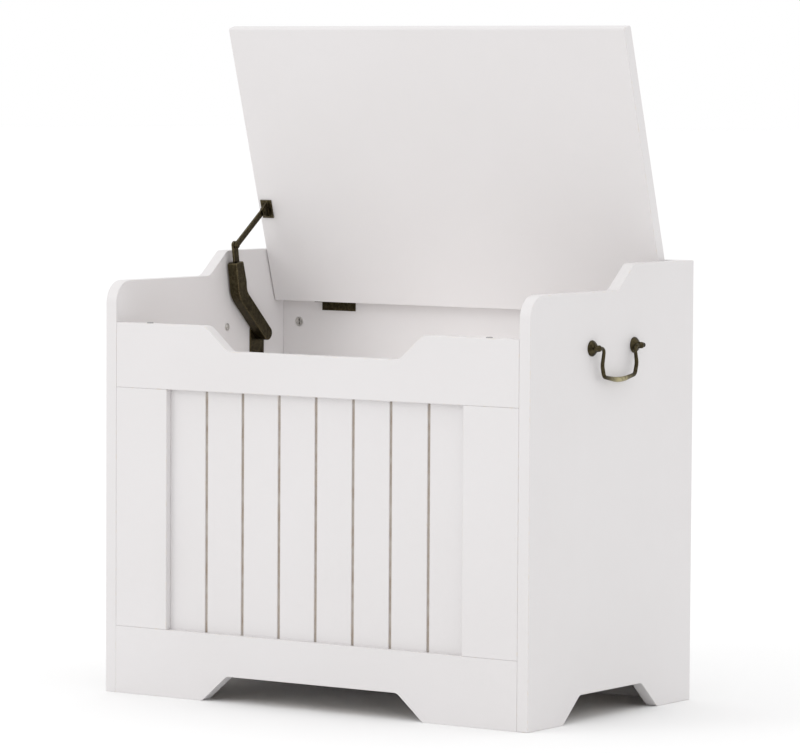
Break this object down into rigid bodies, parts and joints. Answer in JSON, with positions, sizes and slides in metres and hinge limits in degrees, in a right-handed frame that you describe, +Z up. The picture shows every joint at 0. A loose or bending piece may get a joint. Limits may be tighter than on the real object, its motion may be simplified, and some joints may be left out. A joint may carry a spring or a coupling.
{
  "type": "storage bench",
  "caption": "White painted storage bench with a panelled front, a scooped top rail, stepped arms, a flip-up seat lid on butt hinges with a folding stay, and a bronze bail handle on each side.",
  "frame": {"origin": "centre of the footprint on the floor", "axes": "+X to the right, +Y to the rear, +Z up; the front frame faces -Y"},
  "size_m": [0.6264, 0.354, 0.7952],
  "materials": {
    "paint": "satin",
    "slat_paint": "satin",
    "pine": "matte",
    "bronze": "satin",
    "zinc": "satin",
    "nylon": "matte",
    "bumper": "satin"
  },
  "bodies": {
    "carcass": {"side_panel_left": "paint", "side_panel_right": "paint", "back_panel": "paint", "top_rail": "paint", "bottom_rail": "paint", "stile_left": "paint", "stile_right": "paint", "slat_1": "slat_paint", "slat_2": "slat_paint", "slat_3": "slat_paint", "slat_4": "slat_paint", "slat_5": "slat_paint", "slat_6": "slat_paint", "slat_7": "slat_paint", "slat_8": "slat_paint", "batten_upper": "pine", "batten_lower": "pine", "batten_screws": "zinc", "bottom_board": "paint", "cleat_left": "pine", "cleat_right": "pine", "cleat_front": "pine", "cleat_rear": "pine", "cleat_screws": "zinc", "cam_locks_left": "zinc", "cam_locks_right": "zinc", "cam_bolts_left": "zinc", "cam_bolts_right": "zinc", "panel_dowels": "pine", "frame_dowels": "pine", "lid_bumpers": "bumper", "hinge_left_fixed_leaf": "bronze", "hinge_left_pin": "bronze", "hinge_right_fixed_leaf": "bronze", "hinge_right_pin": "bronze", "hinge_screws_back": "bronze", "stay_mount": "bronze", "stay_mount_screws": "bronze", "stay_base_bolt": "bronze", "stay_washer": "nylon", "handle_right_posts": "bronze", "handle_right_screws": "zinc", "handle_left_posts": "bronze", "handle_left_screws": "zinc"},
    "lid": {"lid": "paint", "hinge_left_lid_leaf": "bronze", "hinge_right_lid_leaf": "bronze", "hinge_screws_lid": "bronze", "stay_lid_bracket": "bronze", "stay_bracket_screws": "bronze", "stay_lid_rivet": "bronze"},
    "stay_arm": {"stay_arm": "bronze", "stay_shroud": "bronze", "stay_elbow_rivet": "bronze"},
    "stay_link": {"stay_link": "bronze"},
    "bail_right": {"handle_right_bail": "bronze"},
    "bail_left": {"handle_left_bail": "bronze"}
  },
  "joints": [
    {"name": "lid_hinge", "type": "hinge", "parent": "carcass", "child": "lid", "pos_m": [0, 0.1592, 0.4612], "axis": [1, 0, 0], "range_deg": [0, 73.5]},
    {"name": "stay_base_pivot", "type": "hinge", "parent": "carcass", "child": "stay_arm", "pos_m": [-0.275, 0.1042, 0.4202], "axis": [1, 0, 0], "range_deg": [0, 73.5]},
    {"name": "stay_elbow_pivot", "type": "hinge", "parent": "stay_arm", "child": "stay_link", "pos_m": [-0.272, 0.04548, 0.52796], "axis": [1, 0, 0], "range_deg": [-73.5, 0]},
    {"name": "bail_right_swing", "type": "hinge", "parent": "carcass", "child": "bail_right", "pos_m": [0.309, -0.002, 0.427], "axis": [0, -1, 0], "range_deg": [-7, 187]},
    {"name": "bail_left_swing", "type": "hinge", "parent": "carcass", "child": "bail_left", "pos_m": [-0.309, -0.002, 0.427], "axis": [0, 1, 0], "range_deg": [-7, 187]}
  ],
  "couplings": [
    {"joint": "stay_base_pivot", "follows": "lid_hinge", "ratio": 1},
    {"joint": "stay_elbow_pivot", "follows": "lid_hinge", "ratio": -1}
  ]
}
